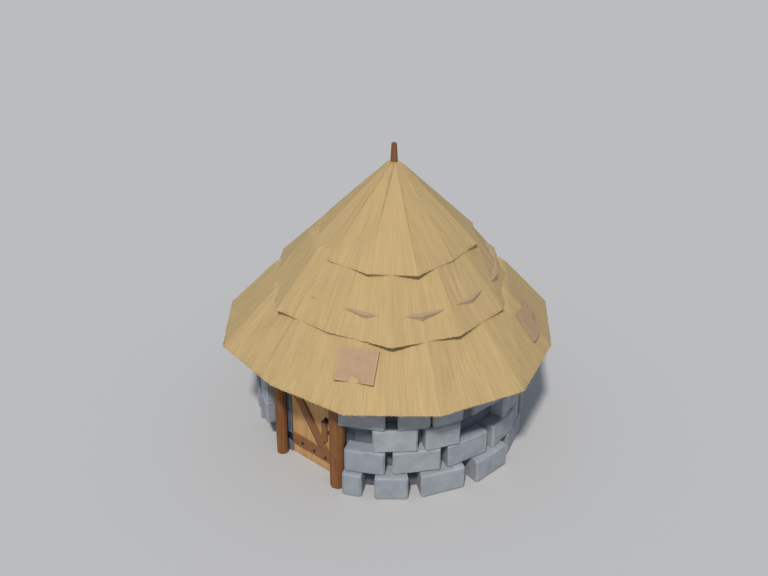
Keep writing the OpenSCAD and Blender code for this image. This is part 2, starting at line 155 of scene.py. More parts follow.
def softNoise(points, cell, seed):
    # value noise from -1 to 1: random numbers on a cubic lattice, blended with a smooth step
    scaled = points / cell + 4096.37
    base = np.floor(scaled).astype(np.int64)
    part = smoothStep(scaled - base)
    total = np.zeros(points.shape[:-1])
    primes = (73856093, 19349663, 83492791)
    for corner in range(8):
        step = np.array([corner & 1, corner >> 1 & 1, corner >> 2 & 1])
        mixed = np.bitwise_xor.reduce((base + step) * primes, axis=-1) ^ seed * 6700417
        mixed = (mixed ^ mixed >> 13) * 60493 % 1000003
        mixed = (mixed ^ mixed >> 7) * 19973 % 65521
        weight = np.prod(np.where(step == 1, part, 1 - part), axis=-1)
        total += weight * (mixed / 32760.0 - 1)
    return total


def roughen(points, coarse, fine, seed):
    # every point moves by three noises, one for each direction; coarse and fine are (cell, amount)
    moved = points.copy()
    for cell, amount in (coarse, fine):
        for axis in range(3):
            moved[..., axis] += amount * softNoise(points, cell, seed + axis)
    return moved


def gridFaces(rows, cols, closeRows):
    # the four-sided faces of a grid of points, numbered row by row; its columns close to a ring
    row, col = np.meshgrid(np.arange(rows - (not closeRows)), np.arange(cols), indexing="ij")
    above, nextCol = (row + 1) % rows * cols, (col + 1) % cols
    return joined(row * cols + col, row * cols + nextCol, above + nextCol, above + col).reshape(-1, 4)


def faceOutwards(points, faces):
    # the sign of the enclosed volume tells which way the faces look
    volume = 0
    for face in faces:
        place = points[face]
        for j in range(1, face.shape[1] - 1):
            volume += np.einsum("ij,ij", place[:, 0], np.cross(place[:, j], place[:, j + 1]))
    return faces if volume > 0 else [face[:, ::-1] for face in faces]


def shell(grid, capped=True, **values):
    # a closed skin from rings of points: the end rings close to a point each, or join each other
    rows, cols = grid.shape[:2]
    points, faces = grid.reshape(-1, 3), [gridFaces(rows, cols, closeRows=not capped)]
    if capped:
        points = np.vstack([points, grid[0].mean(0), grid[-1].mean(0)])
        rings = np.arange(cols)[::-1], np.arange(cols) + (rows - 1) * cols
        faces += [joined(ring, np.roll(ring, -1), rows * cols + end) for end, ring in enumerate(rings)]
    filled = {}
    for name, value in values.items():
        value = np.broadcast_to(value, (rows, cols)).reshape(-1)
        filled[name] = np.append(value, [value[0], value[-1]]) if capped else value
    return points, faceOutwards(points, faces), filled


def tube(path, first, second, radius, around):
    # circles round the points of a path, each spanned by two unit vectors
    turn = circle(around)[None, :, None]
    spokes = np.cos(turn) * first[:, None] + np.sin(turn) * second[:, None]
    return path[:, None] + np.reshape(radius, (-1, 1, 1)) * spokes


def upright(place, radius, angle, z):
    # circles round an upright line
    return joined(place[0] + radius * np.cos(angle), place[1] + radius * np.sin(angle), z)


def makePiece(name, shells, slot, nodes=(), body="hut", skin=None, crease=35):
    # one object from many closed skins; edges sharper than the crease angle stay crisp
    counts = np.cumsum([0] + [len(points) for points, _, _ in shells])
    points = np.vstack([points for points, _, _ in shells])
    faces = [face + start for (_, skinFaces, _), start in zip(shells, counts) for face in skinFaces]
    loops = np.concatenate([face.reshape(-1) for face in faces])
    sizes = np.concatenate([np.full(len(face), face.shape[1]) for face in faces])
    mesh = bpy.data.meshes.new(name)
    mesh.vertices.add(len(points))
    mesh.vertices.foreach_set("co", points.astype(np.float32).reshape(-1))
    mesh.loops.add(len(loops))
    mesh.loops.foreach_set("vertex_index", loops.astype(np.int32))
    mesh.polygons.add(len(sizes))
    mesh.polygons.foreach_set("loop_start", (np.cumsum(sizes) - sizes).astype(np.int32))
    mesh.polygons.foreach_set("loop_total", sizes.astype(np.int32))
    mesh.polygons.foreach_set("use_smooth", np.ones(len(sizes), dtype=bool))
    for key in shells[0][2]:
        filled = np.concatenate([values[key] for _, _, values in shells])
        mesh.attributes.new(key, "FLOAT", "POINT").data.foreach_set("value", filled.astype(np.float32))
    mesh.update()
    mesh.validate()
    mesh.set_sharp_from_angle(angle=math.radians(crease))
    mesh.materials.append(skin or finishes[slot])
    piece = addObject(name, mesh)
    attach(piece, body)
    if nodes:
        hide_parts(*nodes)
    print(name, "triangles:", int((sizes - 2).sum()))


# Materials


class Finish:
    # a material with its node tree, and short ways to add nodes to it
    def __init__(self, name, roughness, metallic=0.0):
        self.material = bpy.data.materials.new(name)
        self.material.use_nodes = True
        self.tree = self.material.node_tree
        self.shader = self.tree.nodes["Principled BSDF"]
        self.shader.inputs["Roughness"].default_value = roughness
        self.shader.inputs["Metallic"].default_value = metallic
        self.place = self.add("ShaderNodeTexCoord").outputs["Object"]

    def fill(self, socket, value):
        if isinstance(value, bpy.types.NodeSocket):
            self.tree.links.new(value, socket)
        else:
            socket.default_value = value

    def add(self, kind, settings=(), first=(), **inputs):
        # first holds the values of the first sockets, and inputs those that go by name
        node = self.tree.nodes.new(kind)
        for key, value in dict(settings).items():
            setattr(node, key, value)
        for key, value in [*enumerate(first), *inputs.items()]:
            self.fill(node.inputs[key], value)
        return node

    def math(self, operation, a, b=0.0):
        return self.add("ShaderNodeMath", {"operation": operation}, (a, b)).outputs[0]

    def vector(self, operation, a, b=(0, 0, 0)):
        return self.add("ShaderNodeVectorMath", {"operation": operation}, (a, b)).outputs[0]

    def sum(self, a, shareA, b, shareB):
        return self.math("ADD", self.math("MULTIPLY", a, shareA), self.math("MULTIPLY", b, shareB))

    def noise(self, place, scale, detail=3.0, rough=0.55):
        node = self.add("ShaderNodeTexNoise", Vector=place, Scale=scale, Detail=detail, Roughness=rough)
        return node.outputs["Fac"]

    def cells(self, scale, **settings):
        node = self.add("ShaderNodeTexVoronoi", settings, Vector=self.place, Scale=scale)
        return node.outputs["Distance"]

    def attribute(self, name):
        return self.add("ShaderNodeAttribute", {"attribute_name": name}).outputs["Fac"]

    def ramp(self, value, *stops):
        node = self.add("ShaderNodeValToRGB", Fac=value)
        points = node.color_ramp.elements
        while len(points) < len(stops):
            points.new(0.5)
        for point, (where, colour) in zip(points, stops):
            point.position, point.color = where, (*colour, 1)
        return node.outputs["Color"]

    def mix(self, share, a, b, how="MIX"):
        node = self.add("ShaderNodeMix", {"data_type": "RGBA", "blend_type": how}, (share,))
        self.fill(node.inputs[6], a)
        self.fill(node.inputs[7], b)
        return node.outputs[2]

    def done(self, colours, height, depth, strength=0.5):
        # the colours are multiplied, and the height becomes a bump
        skin = colours[0]
        for colour in colours[1:]:
            skin = self.mix(1.0, skin, colour, "MULTIPLY")
        bump = self.add("ShaderNodeBump", Height=height, Distance=depth, Strength=strength)
        self.fill(self.shader.inputs["Base Color"], skin)
        self.fill(self.shader.inputs["Normal"], bump.outputs["Normal"])
        return self.material


def shade(colour, factor):
    # the colour made darker or brighter
    return tuple(min(1.0, c * factor) for c in colour)


def slopePlace(finish, across, along):
    # coordinates that change fast round the hut and slowly down the slope
    direction = finish.vector("NORMALIZE", finish.vector("MULTIPLY", finish.place, (1, 1, 0)))
    wide = finish.vector("MULTIPLY", direction, (across, across, 0))
    tall = finish.vector("MULTIPLY", finish.place, (along * 0.3, along * 0.3, along))
    return finish.vector("ADD", wide, tall)


def thatchMaterial(name, colour, across=150.0, along=2.2):
    # combed straw down the slope; where the skin is cut, straw ends show as dots, and the cut is darkened
    # between them as painted shade
    f = Finish(name, 0.92)
    fine = f.noise(slopePlace(f, across, along), 1.0, 4.0, 0.65)
    broad = f.noise(slopePlace(f, across / 9, along / 2), 1.0, 2.0)
    straws = f.ramp(fine, (0.28, shade(colour, 0.80)), (0.5, colour), (0.75, shade(colour, 1.13)))
    bundles = f.ramp(broad, (0.25, (0.90, 0.89, 0.86)), (0.75, (1.0, 1.0, 1.0)))
    patchy = f.ramp(f.noise(f.place, 1.3, 2.0), (0.3, (0.96, 0.97, 0.98)), (0.7, (1.0, 0.99, 0.97)))
    skin = f.mix(1.0, f.mix(1.0, straws, bundles, "MULTIPLY"), patchy, "MULTIPLY")
    ends, cut = f.cells(110.0), f.attribute("cut")
    # straw ends as dots with painted shade: the colour falls to a third of the straw's colour between them
    strawEndsAndShade = f.ramp(ends, (0.0, shade(colour, 0.85)), (0.45, shade(colour, 0.55)),
                     (0.8, shade(colour, 0.3)))
    return f.done([f.mix(cut, skin, strawEndsAndShade)], f.sum(fine, 1.0, ends, cut), 0.006)


def stoneMaterial(name, colour):
    # hewn stone: tone of each block, mottling, fine grain and small pits; the lowest tones, given to the
    # hearting stones, are painted dark blue shade for the gaps between the face stones
    f = Finish(name, 0.88)
    mottle = f.ramp(f.noise(f.place, 4.0, 4.0), (0.3, shade(colour, 0.86)), (0.7, shade(colour, 1.10)))
    # the first stop is painted shade: hearting stones, with the lowest tones, are made dark blue where they
    # show in gaps and missing stones
    tones = (0.0, (0.27, 0.31, 0.38)), (0.3, (0.90, 0.91, 0.92)), (1.0, (1.07, 1.06, 1.04))
    tone = f.ramp(f.attribute("tone"), *tones)
    grain = f.noise(f.place, 60.0, 5.0, 0.7)
    speck = f.ramp(grain, (0.32, (0.82, 0.82, 0.84)), (0.68, (1.06, 1.06, 1.05)))
    pits = f.math("MINIMUM", f.cells(34.0), 0.25)
    return f.done([mottle, tone, speck], f.sum(grain, 0.7, pits, 1.2), 0.006, 0.6)


def woodMaterial(name, colour, run, contrast=0.35):
    # long grain along the run of the timber: x, z, a lean in the door's plane, the slope or the ring
    f = Finish(name, 0.75)
    lean = math.radians(run) if isinstance(run, float) else 0
    upright = f.add("ShaderNodeMapping", Vector=f.place, Rotation=(0, lean, 0)).outputs[0]
    stretch = {"x": (1.3, 26.0, 26.0), "ring": (1.6, 1.6, 34.0)}.get(run, (26.0, 26.0, 1.3))
    place = slopePlace(f, 70.0, 1.2) if run == "slope" else f.vector("MULTIPLY", upright, stretch)
    grain = f.noise(place, 1.0, 4.0, 0.6)
    fibre = f.noise(f.vector("MULTIPLY", place, (5.0, 5.0, 5.0)), 1.0, 3.0, 0.6)
    dark, bright = shade(colour, 1 - contrast), shade(colour, 1 + contrast * 0.6)
    body = f.ramp(grain, (0.3, dark), (0.5, colour), (0.72, bright))
    hair = f.ramp(fibre, (0.3, (0.86, 0.85, 0.84)), (0.7, (1.05, 1.05, 1.05)))
    worn = f.ramp(f.noise(f.place, 2.5, 2.0), (0.3, (0.92, 0.93, 0.95)), (0.7, (1.04, 1.02, 1.0)))
    return f.done([body, hair, worn], f.sum(grain, 0.6, fibre, 0.4), 0.003)


def fibreMaterial(name, colour):
    # plaited or woven grass: painted shade darkens the dips of the weave, with fine uneven fibres
    f = Finish(name, 0.9)
    dip, fibres = f.attribute("dip"), f.noise(f.place, 130.0, 4.0, 0.65)
    # painted shade: where the weave lies lower, the colour is darker
    depth = f.ramp(dip, (0.0, shade(colour, 0.66)), (0.55, shade(colour, 0.95)), (1.0, shade(colour, 1.06)))
    hair = f.ramp(fibres, (0.3, (0.84, 0.83, 0.80)), (0.7, (1.08, 1.08, 1.07)))
    worn = f.ramp(f.noise(f.place, 7.0), (0.3, (0.93, 0.93, 0.93)), (0.7, (1.05, 1.04, 1.02)))
    return f.done([depth, hair, worn], fibres, 0.002)


def ironMaterial(name, colour):
    # forged iron: hammer marks, a dull blackened skin and a trace of rust
    f = Finish(name, 0.55, 0.6)
    rust = (colour[0] * 4, colour[1] * 2.2, colour[2] * 1.4)
    skin = f.ramp(f.noise(f.place, 40.0, 4.0), (0.35, colour), (0.62, shade(colour, 1.7)), (0.8, rust))
    return f.done([skin], f.cells(60.0, feature="SMOOTH_F1"), 0.003)


colours = {"thatch": (0.585, 0.405, 0.180), "stone": (0.370, 0.390, 0.405), "log": (0.248, 0.095, 0.0245),
           "hewn": (0.18, 0.075, 0.03), "rafter": (0.26, 0.13, 0.055), "batten": (0.33, 0.18, 0.08),
           "hoop": (0.47, 0.33, 0.19), "patch": (0.60, 0.385, 0.225), "pole": (0.26, 0.10, 0.035),
           "board": (0.635, 0.356, 0.138), "rail": (0.29, 0.12, 0.037), "iron": (0.018, 0.020, 0.026)}
finishes = {
    "thatch": thatchMaterial("thatchSkin", colours["thatch"]),
    "stone": stoneMaterial("stoneSkin", colours["stone"]),
    "post_log": woodMaterial("logSkin", colours["log"], "z"),
    "hewn_timber": woodMaterial("ringSkin", colours["hewn"], "ring"),
    "rafter_pole": woodMaterial("rafterSkin", colours["rafter"], "slope", 0.3),
    "batten": woodMaterial("battenSkin", colours["batten"], "ring", 0.3),
    "apex_wood": woodMaterial("poleSkin", colours["pole"], "z"),
    "door_board": woodMaterial("boardSkin", colours["board"], "z", 0.22),
    "door_rail": woodMaterial("railSkin", colours["rail"], "x"),
    "hoop": fibreMaterial("hoopSkin", colours["hoop"]),
    "patch_mat": fibreMaterial("patchSkin", colours["patch"]),
    "iron": ironMaterial("ironSkin", colours["iron"]),
}
lintelSkin = woodMaterial("hewnSkin", colours["hewn"], "x")
braceSkin = woodMaterial("braceSkin", colours["rail"], 36.0)
gripSkin = woodMaterial("gripSkin", colours["rail"], "z")

for row in frame["record"]["subparts"]:
    nodeMaterials = frame["nodes"][row["node"]].data.materials
    nodeMaterials.clear()
    nodeMaterials.append(finishes[row["material_slot"]])
print("materials ready")

# Bars


def roundedOutline(wide, deep, edge, counts, bend):
    # the outline of a bar, point by point: four straight sides joined by quarter rounds
    flats = wide / 2 - edge, deep / 2 - edge
    arc = np.radians(np.linspace(-90, 0, bend + 2)[1:-1])
    sides = []
    for side in range(4):
        length, reach = flats[side % 2], flats[(side + 1) % 2]
        straight = joined(np.linspace(-length, length, counts[side % 2]), -reach - edge)
        corner = joined(length + edge * np.cos(arc), -reach + edge * np.sin(arc))
        x, y = np.vstack([straight, corner]).T
        cosine, sine = math.cos(math.pi / 2 * side), math.sin(math.pi / 2 * side)
        sides.append(joined(x * cosine - y * sine, x * sine + y * cosine))
    return np.vstack(sides)


def endLevels(tall, ends, values, count):
    # levels from 0 to tall with a value at each: as given near both ends, and steady between them
    steady = np.linspace(ends[-1], tall - ends[-1], count)
    levels = np.concatenate([ends[:-1], steady, tall - np.array(ends[-2::-1])])
    return np.array([levels, np.concatenate([values[:-1], np.full(count, values[-1]), values[-2::-1]])])


def barRings(length, wide, deep, edge, step, counts, bend):
    # shares of the length, and the outline there, drawn in near both ends by the rounding of the edges
    count = max(3, int(length / step))
    places, drawn = endLevels(length, [0, 0.3 * edge, edge], [edge, 0.3 * edge, 0], count)
    scale = joined(1 - 2 * drawn / wide, 1 - 2 * drawn / deep)
    return places / length, roundedOutline(wide, deep, edge, counts, bend) * scale[:, None]


def bar(start, along, across, out, wide, deep, edge, step, rough, seed, counts, bend=3):
    # a rounded outline carried from start along a straight line, with noise on its faces
    start, along, across, out = (np.array(v, float) for v in (start, along, across, out))
    share, local = barRings(np.linalg.norm(along), wide, deep, edge, step, counts, bend)
    points = start + share[:, None, None] * along + local[..., :1] * across + local[..., 1:] * out
    return shell(roughen(points, (0.11, rough), (0.035, rough * 0.5), seed))


def drawnIn(span, inset):
    # a range made shorter at both ends
    return span[0] + inset, span[1] - inset


def boxBar(x, y, z, ways, edge, **grain):
    # a rounded bar that fills a box; ways names the axes of its length, its width and its depth
    low, high = np.array([x, y, z], float).T
    size, start = high - low, (low + high) / 2
    run, wide, deep = ("xyz".index(way) for way in ways)
    start[run] = low[run]
    axes = np.eye(3)
    return bar(start, size[run] * axes[run], axes[wide], axes[deep], size[wide], size[deep], edge, **grain)


def arcBar(heights, turns, radii, edge, rough, seed, jambs=(False, False), flatFront=False, **values):
    # a rounded bar bent round the hut; beside the doorway its end is the flat jamb and its front is flat
    (low, high), (start, end), (inner, outer) = heights, turns, radii
    tall, deep = high - low, outer - inner
    length = math.radians(end - start) * (inner + outer) / 2
    share, local = barRings(length, tall, deep, edge, 0.07, (4, 4), 1)
    share, depth = share[:, None], local[..., 1] / deep + 0.5
    radius = inner + depth * deep
    for _ in range(2):
        jamb = np.degrees(np.arcsin(wall["jambX"] / radius))
        first = jamb if jambs[0] else start
        last = 360 - jamb if jambs[1] else end
        turn = first + share * (last - first)
        if flatFront:
            reach = np.minimum(outer, wall["flatY"] / np.maximum(np.cos(np.radians(turn)), 0.2))
            radius = inner + depth * (reach - inner)
    points = raised(polar(radius, turn), low + tall / 2 + local[..., 0])
    return shell(roughen(points, *rough, seed), **values)


def turned(centre, axis, profile, around):
    # a profile of (distance along the axis, radius) spun round the axis
    along, radius = np.array(profile, float).T
    axis = np.array(axis, float)
    side = np.roll(axis, -1)
    path = np.array(centre) + along[:, None] * axis
    return shell(tube(path, side[None], np.cross(axis, side)[None], radius, around))


def studs(places, origin, profile, around):
    # one profile spun at several places of an upright face, measured from the origin
    x, y, z = origin
    return [turned((x + right, y, z + up), (0, -1, 0), profile, around) for right, up in places]


# Stone wall

wall = {
    "roomR": 1.98, "coreR": 2.19, "heights": [0.45, 0.45, 0.45, 0.45, 0.30],
    "footProud": 0.350, "footStones": 4, "faceProud": 0.245, "topProud": 0.120, "uneven": 0.015,
    "bevel": 0.035, "bedBevel": 0.028, "sideSlack": 0.006, "facet": 0.028,
    "rough": ((0.16, 0.0050), (0.050, 0.0028)), "jambX": 0.500, "jambTurn": 13.9, "flatY": 2.080,
    "joints": [[20, 33, 51, 74.5, 97, 121.5], [21.5, 41, 63.7, 86.3, 106, 117],
               [14, 33, 54, 72, 93.5, 113], [18, 42, 58, 74, 95], [20, 36, 56, 78, 100]],
    "endJoints": [[320, 342], [325.5, 337.5], [325.5, 337.5], [318, 340], [319, 341]],
    "gap": [5, 3, 3, 5, 3], "closedJoint": (3, 2), "closedGap": 1.0, "stones": 15, "inPart": 3,
    "missing": [(2, 0), (2, 3), (3, 8), (1, 11), (0, 14)],
    "parts": ["wall_right_front", "wall_right", "wall_back", "wall_left", "wall_left_front"],
}
# the hearting's low tones become painted dark blue shade in the stone finish
hearting = {"high": 0.225, "long": 0.46, "edge": 0.013, "uneven": 0.12, "tone": 0.12,
            "rough": ((0.14, 0.0035), (0.05, 0.0018))}


def jointTurn(course, i):
    # direction of a joint: the chosen ones first and last, equal steps between them
    known, ends = wall["joints"][course], wall["endJoints"][course]
    last = wall["stones"] - 1
    if i < len(known):
        return known[i]
    if i >= last:
        return ends[i - last]
    start = len(known) - 1
    return known[-1] + (i - start) * (ends[0] - known[-1]) / (last - start)


def jointGap(course, i):
    # width of a joint in degrees
    return wall["closedGap"] if (course, i) == wall["closedJoint"] else wall["gap"][course]


def stoneBlock(course, i):
    # rings stacked from the bed up; each ring is the outline of a wedge with a bevelled front,
    # set back near the top and the bottom, and the rings close to a point inside each bed
    w = wall
    start = jointTurn(course, i) + jointGap(course, i) / 2
    end = jointTurn(course, i + 1) - jointGap(course, i + 1) / 2
    spread = math.tan(math.radians(end - start) / 2)
    proud = w["topProud"]
    if course < len(w["heights"]) - 1:
        proud = w["footProud"] if course == 0 and i < w["footStones"] else w["faceProud"]
        proud += round(1000 * w["uneven"] * math.sin(math.radians(137 * i + 71 * course))) / 1000
    face, root, high = w["coreR"] + proud, (w["roomR"] + w["coreR"]) / 2, w["heights"][course]
    b, bed = w["bevel"], w["bedBevel"]
    levels, setBack = endLevels(high, [0, 0, bed / 2, bed], [bed, bed, bed / 2, 0], 13)[..., None]
    faceHere = face - setBack
    outSide = root + np.linspace(0, 1, 9) * (faceHere - b - root)
    acrossSide = spread * outSide - w["sideSlack"] * (setBack / bed)
    halfFront = spread * faceHere - b
    bend = np.array([1, 2]) / 3
    outBend = faceHere - b + b * bend
    acrossBend = acrossSide[:, -1:] + (halfFront - acrossSide[:, -1:]) * bend
    along = np.linspace(-1, 1, max(8, int(2 * spread * face / w["facet"])))
    outHalf, acrossHalf = np.hstack([outSide, outBend]), np.hstack([acrossSide, acrossBend])
    outFront = np.broadcast_to(faceHere, (len(levels), len(along)))
    out = np.hstack([outHalf, outFront, outHalf[:, ::-1]])
    across = np.hstack([-acrossHalf, along * halfFront, acrossHalf[:, ::-1]])
    fold = np.concatenate([[0.5], np.ones(len(levels) - 2), [0.5]])[:, None]
    centre = (face + root) / 2
    z = sum(w["heights"][:course]) + levels
    points = aroundHut(centre + (out - centre) * fold, across * fold, z, (start + end) / 2)
    return shell(roughen(points, *w["rough"], 31 * course + i), tone=0.3 + 0.7 * chance.random())


def heartStones(course, part):
    # two layers of long stones from the room to the core, with their end joints staggered
    w, h, lastPart = wall, hearting, len(wall["parts"]) - 1
    start = jointTurn(course, part * w["inPart"]) if part > 0 else w["jambTurn"]
    end = jointTurn(course, (part + 1) * w["inPart"]) if part < lastPart else 360 - w["jambTurn"]
    low, high = sum(w["heights"][:course]), w["heights"][course]
    layers = max(1, round(high / h["high"]))
    count = max(2, round(math.radians(end - start) * w["coreR"] / h["long"]))
    stones = []
    for layer in range(layers):
        inside = (np.arange(count) + (0.5 if layer % 2 else 1)) / count
        inside = inside[(inside > 0.01) & (inside < 0.99)]
        inside = inside + chance.uniform(-h["uneven"], h["uneven"], len(inside)) / count
        marks = start + np.concatenate([[0], inside, [1]]) * (end - start)
        heights = low + high * layer / layers, low + high * (layer + 1) / layers
        for i in range(len(marks) - 1):
            jambs = (part == 0 and i == 0, part == lastPart and i == len(marks) - 2)
            # each hearting stone gets a low tone, which the stone finish paints as dark shade
            stones.append(arcBar(heights, marks[i:i + 2], (w["roomR"], w["coreR"]), h["edge"], h["rough"],
                                 100 * course + 7 * layer + i, jambs, part in (0, lastPart),
                                 tone=h["tone"] * chance.random()))
    return stones


for part, name in enumerate(wall["parts"]):
    numbers = range(part * wall["inPart"], (part + 1) * wall["inPart"])
    skins = []
    for course in range(len(wall["heights"])):
        skins += heartStones(course, part)
        skins += [stoneBlock(course, i) for i in numbers if (course, i) not in wall["missing"]]
    for points, _, _ in skins:
        points[:, 2] = np.maximum(points[:, 2], 0)
    makePiece("masonry_%s" % name[5:], skins, "stone", [name], crease=28)
print("wall ready")

# Thatch

roof = {"turn": -3, "liningR": 2.640, "pitch": 46, "eaveZ": 1.980}
tiers = {
    "thatch_lower": {
        "corners": [2.832, 2.946, 2.979, 3.078, 2.913, 3.015, 2.832, 3.030, 2.970, 3.078, 3.075, 3.054],
        "heads": [2.017, 2.041, 2.113, 2.030, 2.060, 2.120, 2.050, 2.050, 2.050, 2.050, 2.110, 2.060],
        "footZ": 1.980, "seatZ": 1.980, "headZ": 3.000, "turn": 0, "lean": (0, 0),
        "cols": 816, "rows": 58, "stalks": 3600},
    "thatch_middle": {
        "corners": [2.109, 2.316, 2.235, 2.181, 2.085, 2.230, 2.160, 2.280, 2.205, 2.305, 2.095, 2.232],
        "heads": [1.385, 1.447, 1.398, 1.336, 1.385, 1.395, 1.385, 1.389, 1.413, 1.295, 1.390, 1.390],
        "footZ": 2.900, "seatZ": 3.000, "headZ": 3.895, "turn": 15, "lean": (0, 0),
        "cols": 660, "rows": 52, "stalks": 2600},
    "thatch_top": {
        "corners": [1.467, 1.551, 1.626, 1.443, 1.515, 1.497, 1.560, 1.470, 1.590, 1.500, 1.365, 1.400],
        "heads": [0.090] * 12,
        "footZ": 3.795, "seatZ": 3.895, "headZ": 5.140, "turn": 0, "lean": (0.035, 0.030),
        "cols": 480, "rows": 66, "stalks": 1700},
}
straw = {"bundle": 0.0050, "bundleCell": (5, 22), "strand": 0.0024, "strandCell": (1, 9), "lean": 44,
         "shoulder": 0.035, "shoulderH": 0.08, "setBack": 0.040, "edge": 0.008, "edgeRows": 3,
         "cutRows": 9, "cutRough": 0.008, "cutLining": 0.35}
stalk = {"back": 0.045, "reach": (0.002, 0.022), "lift": (-0.035, 0.002), "hidden": -0.012,
         "swing": 0.010, "rise": 0.004, "thick": (0.0016, 0.0030)}


def facetPoint(tier, around, up):
    # a point on the flat-sided skin: around counts corners, up goes from the edge to the head;
    # each side is two triangles that meet on the line from its left foot to its right head
    turns = roof["turn"] + tier["turn"] + 30 * np.arange(12)
    foot = raised(polar(np.array(tier["corners"]), turns), tier["footZ"])
    head = raised(polar(np.array(tier["heads"]), turns) + tier["lean"], tier["headZ"])
    k = np.floor(around).astype(int) % 12
    m, s, t = (k + 1) % 12, (around % 1)[..., None], up[..., None]
    upper = foot[k] + t * (head[k] - foot[k]) + s * (head[m] - head[k])
    lower = foot[k] + s * (foot[m] - foot[k]) + t * (head[m] - foot[m])
    return np.where(s <= t, upper, lower)


def strawRelief(cols, rows, cellCols, cellRows):
    # long soft ridges: random numbers on a coarse wrapped grid, stretched down the slope
    few, tall = max(4, cols // cellCols), max(2, rows // cellRows) + 1
    table = chance.random((tall, few)) * 2 - 1
    c = np.arange(cols) * few / cols
    i, part = np.floor(c).astype(int), smoothStep(c % 1)
    lines = table[:, i % few] * (1 - part) + table[:, (i + 1) % few] * part
    r = np.linspace(0, tall - 1.001, rows)
    j, share = np.floor(r).astype(int), (r % 1)[:, None]
    return lines[j] * (1 - share) + lines[j + 1] * share


def tierSkin(tier):
    # the section of a tier, carried round: up the outside, over the hidden head, down the lining
    # and out along the cut edge; straw ridges lift the outside and the cut is rough
    cols, rows, w = tier["cols"], tier["rows"], straw
    around, up = np.arange(cols) * 12 / cols, np.linspace(0, 1, rows)[:, None]
    outside = facetPoint(tier, *np.broadcast_arrays(around, up))
    direction = unit(outside[..., :2])
    lean = math.radians(w["lean"])
    normal = raised(direction * math.sin(lean), math.cos(lean))
    ridges = w["bundle"] * strawRelief(cols, rows, *w["bundleCell"])
    ridges = ridges + w["strand"] * strawRelief(cols, rows, *w["strandCell"])
    outside = outside + normal * (ridges - w["bundle"] * 0.5)[..., None]
    # the shoulder at the head is worn round
    worn = w["shoulder"] * np.clip((outside[..., 2] - tier["headZ"]) / w["shoulderH"] + 1, 0, 1) ** 2
    outside[..., :2] -= direction * worn[..., None]
    # the lining is a cone with flat sides whose corners lie on the rafters; where the tier laps over
    # the one below, its lining stands back inside that tier's straw
    turns = np.degrees(np.arctan2(outside[0, :, 0], -outside[0, :, 1]))
    foot, seat, head = tier["footZ"], tier["seatZ"], tier["headZ"]
    z = np.concatenate([np.linspace(head, seat, 14), np.linspace(seat - 0.002, foot, 4)])[:, None]
    cone = np.maximum(roof["liningR"] - (z - roof["eaveZ"]) / math.tan(math.radians(roof["pitch"])), 0.02)
    liningR = cone * flatSided(np.radians(turns - roof["turn"]), 12) + np.where(z < seat, w["setBack"], 0)
    lining = raised(polar(liningR, turns), z)
    over = np.linspace(0, 1, 4)[1:-1, None, None]
    headBand = outside[-1] * (1 - over) + lining[0] * over
    across = np.linspace(0, 1, w["cutRows"] + 2)[1:-1, None, None]
    cut = lining[-1] * (1 - across) + outside[0] * across
    rough = w["cutRough"] * (chance.random((w["cutRows"], cols)) - 0.3)
    cut[..., 2] += rough * np.sin(across[..., 0] * math.pi) ** 0.5
    ragged = w["edge"] * strawRelief(cols, 4, 2, 2)[0]
    few = w["edgeRows"]
    ragged = ragged * ((1 - np.arange(few) / few) ** 2)[:, None]
    outside[:few, :, 2] -= ragged * 0.6
    outside[:few, :, :2] += direction[:few] * (ragged * 0.5)[..., None]
    grid = np.concatenate([outside, headBand, lining, cut])
    isCut = np.zeros(grid.shape[:2])
    # the lining takes part of the cut colour with its painted shade, and the cut edge takes all of it
    isCut[rows + 2:] = w["cutLining"]
    isCut[-w["cutRows"]:] = 1
    return shell(grid, capped=False, cut=isCut)


def stalks(base, tip, thick):
    # three-sided stalks, thinner at the tip: a ring of three points at each end
    axis = unit(tip - base)
    first = unit(np.cross(axis, [0.3, 0.2, 1.0]))
    second = np.cross(axis, first)
    rings = [tube(base, first, second, thick, 3), tube(tip, first, second, thick * 0.5, 3)]
    points = np.concatenate(rings, 1).reshape(-1, 3)
    start = 6 * np.arange(len(base))[:, None, None]
    sides = (start + np.array([[0, 1, 4, 3], [1, 2, 5, 4], [2, 0, 3, 5]])).reshape(-1, 4)
    ends = (start + np.array([[2, 1, 0], [3, 4, 5]])).reshape(-1, 3)
    return points, faceOutwards(points, [sides, ends]), {"cut": np.zeros(len(points))}


def fringe(tier):
    # loose stalk ends that stand a little out of the edge, each with its own length and lean
    count = tier["stalks"]
    around = np.sort(chance.random(count)) * 12
    edge = facetPoint(tier, around, np.zeros(count))
    slope = unit(edge - facetPoint(tier, around, np.full(count, 0.07)))
    side = unit(np.cross(slope, [0, 0, 1.0]))
    normal = np.cross(side, slope)
    lift = chance.uniform(*stalk["lift"], (count, 1))
    lean = side * chance.normal(0, stalk["swing"], (count, 1))
    lean += normal * chance.normal(0, stalk["rise"], (count, 1))
    reach = chance.uniform(*stalk["reach"], (count, 1)) * np.where(lift > stalk["hidden"], 1, 0.5)
    base = edge - slope * stalk["back"] + normal * lift
    tip = edge + slope * reach + normal * lift + lean
    return stalks(base, tip, chance.uniform(*stalk["thick"], count))


for name, tier in tiers.items():
    makePiece("straw_%s" % name[7:], [tierSkin(tier), fringe(tier)], "thatch", [name], crease=30)
print("thatch ready")

# Frame under the roof

